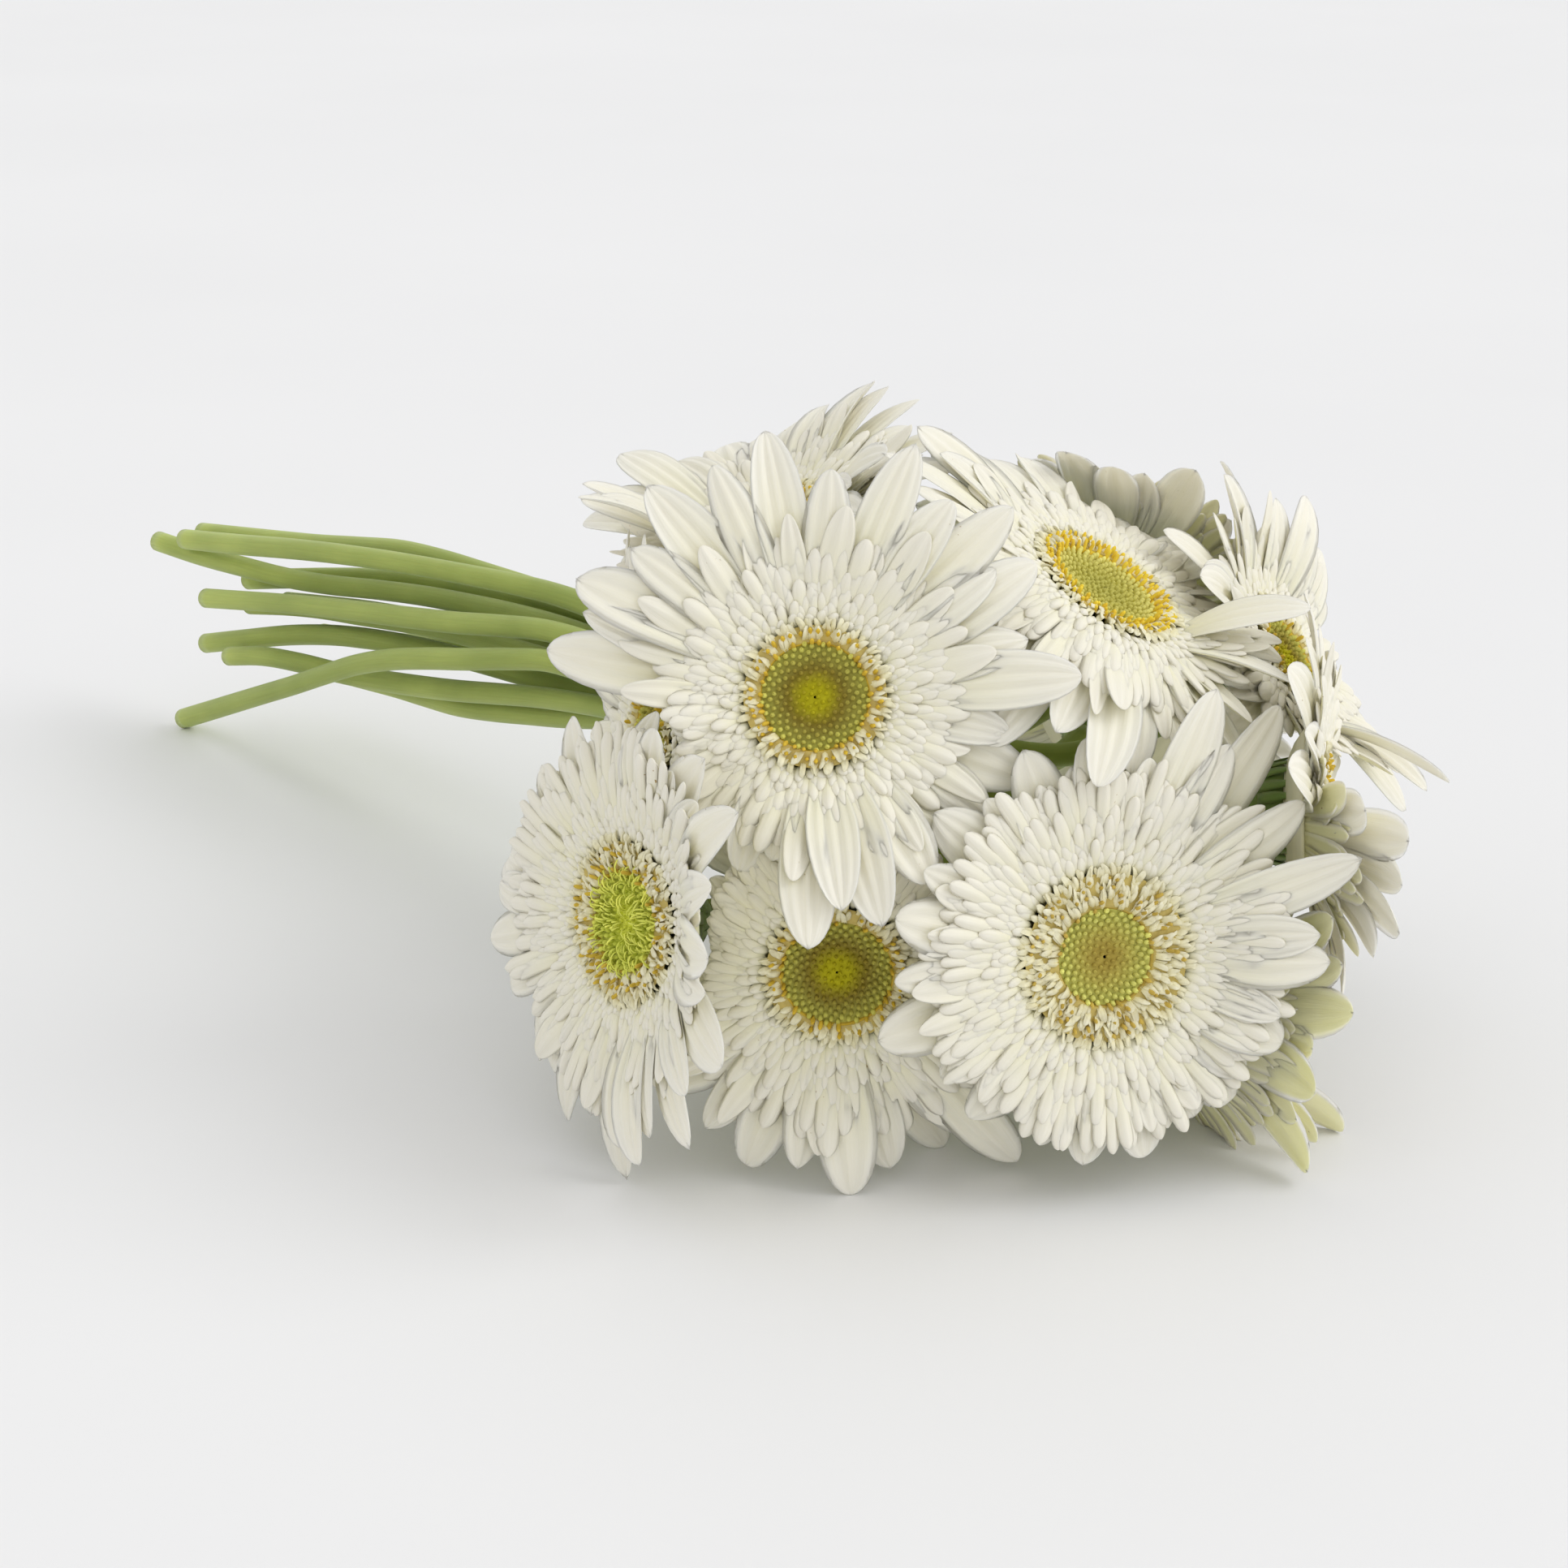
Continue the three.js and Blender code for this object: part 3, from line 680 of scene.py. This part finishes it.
def petal_material(name, scatter, depth):
    """White petal. scatter, depth: how much light goes into it, and how far, in mm."""
    look = Look(name)
    tint = look.tint()
    # Fine veins run the length of each floret.
    veins = look.noise(look.grain((2.3, 0.07, 1)), 1.0, 4.0, 0.65)
    broad = look.noise(look.place(), 38.0, 2.0)
    green = look.math("MULTIPLY", tint, look.range(broad, 0.3, 0.75, 0.55, 1.0))
    base = look.ramp(
        green,
        [(0.0, (0.86, 0.83, 0.735)), (0.3, (0.86, 0.83, 0.62)), (1.0, (0.76, 0.75, 0.34))],
    )
    veined = look.mix(look.range(veins, 0.35, 0.7, 0.0, 0.18), base, (0.86, 0.84, 0.70), "MULTIPLY")
    # A few brown specks, as on any handled petal
    specks = look.noise(look.place(), 900.0, 1.0)
    patches = look.noise(look.place(), 60.0, 1.0)
    bruised = look.math("MULTIPLY", look.range(specks, 0.74, 0.78), look.range(patches, 0.62, 0.68))
    look.link(look.mix(bruised, veined, (0.45, 0.33, 0.16)), look.shader.inputs["Base Color"])
    look.link(look.range(veins, 0.3, 0.7, 0.46, 0.62), look.shader.inputs["Roughness"])
    look.bump(veins, 0.4, 0.25 * MM)
    shader = look.shader.inputs
    shader["Subsurface Weight"].default_value = scatter
    shader["Subsurface Radius"].default_value = (1.0, 1.0, 1.0)
    shader["Subsurface Scale"].default_value = depth * MM
    shader["Specular IOR Level"].default_value = 0.3
    return look.material


# Of each: the middle of the disc, half-way out, the rim of the buds, and the anthers.
BUD_PALETTES = {
    "olive": ((0.49, 0.45, 0.01), (0.33, 0.26, 0.04), (0.58, 0.56, 0.12), (0.66, 0.46, 0.05)),
    "tan": ((0.45, 0.35, 0.07), (0.60, 0.54, 0.13), (0.72, 0.72, 0.20), (0.54, 0.39, 0.08)),
    "lime": ((0.76, 0.80, 0.10), (0.68, 0.74, 0.10), (0.76, 0.80, 0.15), (0.60, 0.43, 0.06)),
    "gold": ((0.56, 0.53, 0.13), (0.64, 0.60, 0.15), (0.78, 0.73, 0.22), (0.88, 0.62, 0.06)),
}


def disc_material(palette):
    look = Look(f"disc_{palette}")
    middle, half_way, rim, anther = BUD_PALETTES[palette]
    tip = tuple(min(1, 1.3 * c) for c in rim)
    shaded_anther = tuple(0.8 * c for c in anther)
    bright_anther = tuple(min(1, 1.25 * c) for c in anther)
    colour = look.ramp(
        look.tint(),
        [
            (0.0, middle), (0.12, middle), (0.26, half_way), (0.42, rim), (0.5, tip),
            (0.56, shaded_anther), (0.62, anther), (0.72, bright_anther),
            (0.79, (0.50, 0.36, 0.06)), (0.86, (0.82, 0.74, 0.38)), (1.0, (0.90, 0.87, 0.68)),
        ],
    )
    mottle = look.noise(look.place(), 700.0, 2.0)
    look.link(look.mix(look.range(mottle, 0.35, 0.75, 0.0, 0.4), colour, (0.55, 0.50, 0.35), "MULTIPLY"),
              look.shader.inputs["Base Color"])
    look.link(look.range(mottle, 0.3, 0.7, 0.6, 0.8), look.shader.inputs["Roughness"])
    look.bump(look.noise(look.place(), 1800.0, 2.0), 0.4, 0.15 * MM)
    look.shader.inputs["Specular IOR Level"].default_value = 0.15
    return look.material


def green_material(name, dark, light, hair=0.5):
    look = Look(name)
    streaks = look.noise(look.grain((1.6, 0.05, 1)), 1.0, 4.0, 0.6)
    broad = look.noise(look.place(), 30.0, 3.0)
    value = look.math("ADD", look.math("MULTIPLY", look.tint(), 0.5), look.math("MULTIPLY", broad, 0.5))
    colour = look.ramp(value, [(0.25, dark), (0.75, light)])
    colour = look.mix(look.range(streaks, 0.35, 0.7, 0.0, 0.3), colour, (0.55, 0.60, 0.35), "MULTIPLY")
    look.link(colour, look.shader.inputs["Base Color"])
    fuzz = look.noise(look.grain((9, 3, 1)), 1.0, 2.0, 0.7)
    look.link(look.range(fuzz, 0.3, 0.7, 0.5, 0.72), look.shader.inputs["Roughness"])
    look.bump(look.math("ADD", fuzz, look.math("MULTIPLY", streaks, 1.5)), 0.45, 0.2 * MM)
    look.shader.inputs["Sheen Weight"].default_value = hair
    look.shader.inputs["Sheen Roughness"].default_value = 0.4
    look.shader.inputs["Sheen Tint"].default_value = (0.85, 0.95, 0.7, 1)
    look.shader.inputs["Subsurface Weight"].default_value = 0.1
    look.shader.inputs["Subsurface Scale"].default_value = 1.5 * MM
    return look.material


def band_material():
    look = Look("band_rubber")
    wear = look.noise(look.place(), 260.0, 3.0)
    colour = look.ramp(wear, [(0.3, (0.42, 0.27, 0.12)), (0.7, (0.62, 0.44, 0.24))])
    look.link(colour, look.shader.inputs["Base Color"])
    look.link(look.range(wear, 0.3, 0.7, 0.5, 0.75), look.shader.inputs["Roughness"])
    look.bump(look.noise(look.grain((1, 2.5, 1)), 2.0, 3.0), 0.3, 0.2 * MM)
    return look.material


def floor_material():
    look = Look("pale_floor")
    cloud = look.noise(look.place(), 3.0, 3.0)
    colour = look.ramp(cloud, [(0.3, (0.825, 0.825, 0.83)), (0.7, (0.845, 0.845, 0.85))])
    look.link(colour, look.shader.inputs["Base Color"])
    look.shader.inputs["Roughness"].default_value = 0.55
    look.shader.inputs["Specular IOR Level"].default_value = 0.3
    return look.material


# ---- Build the bunch ----
ray_petal = petal_material("ray_petal", 0.6, 0.8)
inner_petal = petal_material("inner_petal", 0.25, 0.3)
discs = {palette: disc_material(palette) for palette in BUD_PALETTES}
stem_green = green_material("stem_green", (0.18, 0.25, 0.02), (0.50, 0.58, 0.12))
cup_green = green_material("involucre_green", (0.16, 0.26, 0.05), (0.38, 0.46, 0.14), 0.3)

heads = [Head(number) for number in NUMBERS]
for head in heads:
    florets = Surface()
    add_rays(florets, head)
    florets.firsts.append(len(florets.faces))
    add_receptacle(florets, head)
    add_half_rays(florets, head)
    add_inner_florets(florets, head)
    florets.build(f"petals_{head.number}", [ray_petal, inner_petal], f"ray_florets_{head.number}")

    button = Surface()
    add_disc_bed(button, head)
    add_buds(button, head)
    if head.number in CURLY:
        add_curls(button, head)
    add_open_florets(button, head)
    button.build(f"disc_{head.number}", [discs[head.look["palette"]]], f"disc_florets_{head.number}")

    cup = Surface()
    add_involucre(cup, head)
    cup.build(f"bracts_{head.number}", [cup_green], f"involucre_{head.number}")

    build_stem(head, stem_green)
build_band(band_material())

# ---- Floor, light and camera ----
bpy.ops.mesh.primitive_plane_add(size=80)
floor = bpy.context.object
floor.name = "floor"
floor.data.materials.append(floor_material())

scene = bpy.context.scene
scene.view_settings.view_transform = "Standard"
world = bpy.data.worlds.new("studio")
scene.world = world
world.use_nodes = True
world.node_tree.nodes["Background"].inputs["Color"].default_value = (1.0, 1.0, 1.0, 1)
world.node_tree.nodes["Background"].inputs["Strength"].default_value = 0.84

band_low, band_high = (np.array(v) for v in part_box("rubber_band"))
band_to_dome = np.array([100, 0, -15.2]) * MM
dome = (band_low + band_high) / 2 + band_to_dome

VIEW_AZIMUTH = math.radians(47.4)
VIEW_ELEVATION = math.radians(20)
forward = np.array([
    -math.sin(VIEW_AZIMUTH) * math.cos(VIEW_ELEVATION),
    math.cos(VIEW_AZIMUTH) * math.cos(VIEW_ELEVATION),
    -math.sin(VIEW_ELEVATION),
])
right = unit(np.cross(forward, (0, 0, 1)))
above = np.cross(right, forward)


def aimed(direction):
    """The turn of a lamp or camera that looks along a direction."""
    return Vector(direction).to_track_quat("-Z", "Y").to_euler()


def from_flowers(to_right, up, towards):
    """A direction or offset, in metres, given as the viewer sees it from in front of the flowers."""
    return to_right * right + up * np.array([0, 0, 1]) - towards * unit(forward * (1, 1, 0))


window_data = bpy.data.lights.new("window", "SUN")
window_data.energy = 0.95
window_data.angle = math.radians(42)
window = bpy.data.objects.new("window", window_data)
window.rotation_euler = aimed(-from_flowers(1.2, 1.0, 0.1))
scene.collection.objects.link(window)

fill_data = bpy.data.lights.new("fill", "AREA")
fill_data.size = 2.2
fill_data.energy = 2
fill = bpy.data.objects.new("fill", fill_data)
offset = from_flowers(0.9, 0.8, 1.9)
fill.location = dome + offset
fill.rotation_euler = aimed(-offset)
scene.collection.objects.link(fill)

camera_data = bpy.data.cameras.new("camera")
camera_data.lens = 75
camera_data.sensor_width = 36
camera_data.clip_start = 0.01
camera_data.clip_end = 50
camera = bpy.data.objects.new("camera", camera_data)
scene.collection.objects.link(camera)
camera_distance = 775 * MM
camera_offset = -38 * MM * right + 14 * MM * above
camera.location = dome - forward * camera_distance + camera_offset
camera.rotation_euler = aimed(forward)
scene.camera = camera
